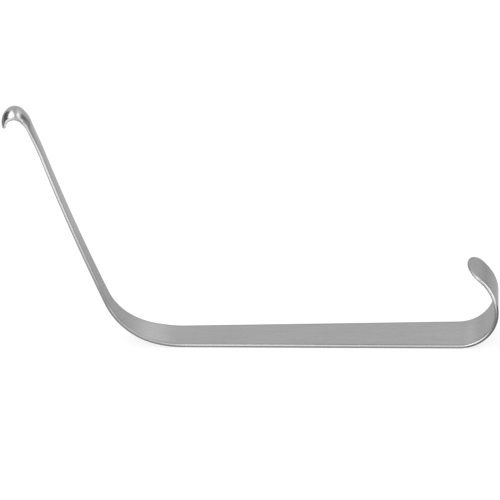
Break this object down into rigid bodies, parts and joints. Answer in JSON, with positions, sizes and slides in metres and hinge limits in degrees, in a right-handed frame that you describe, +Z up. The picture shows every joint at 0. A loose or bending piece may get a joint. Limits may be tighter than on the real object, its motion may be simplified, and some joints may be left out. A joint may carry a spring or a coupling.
{
  "type": "surgical retractor",
  "caption": "Handheld surgical retractor: one flat satin steel strap with a straight handle, a finger curl at one end and a bowed arm rising to a small scooped hook.",
  "frame": {"origin": "middle of the underside of the straight handle, where the retractor rests", "axes": "+X along the handle towards the finger curl, +Y across the strap, +Z up from the handle towards the hook"},
  "size_m": [0.1955, 0.0208, 0.1044],
  "materials": {
    "satin_steel": "satin stainless steel with a fine grain along the strap and rounded, brighter rims"
  },
  "bodies": {
    "root": {"retractor": "satin_steel"}
  },
  "joints": []
}
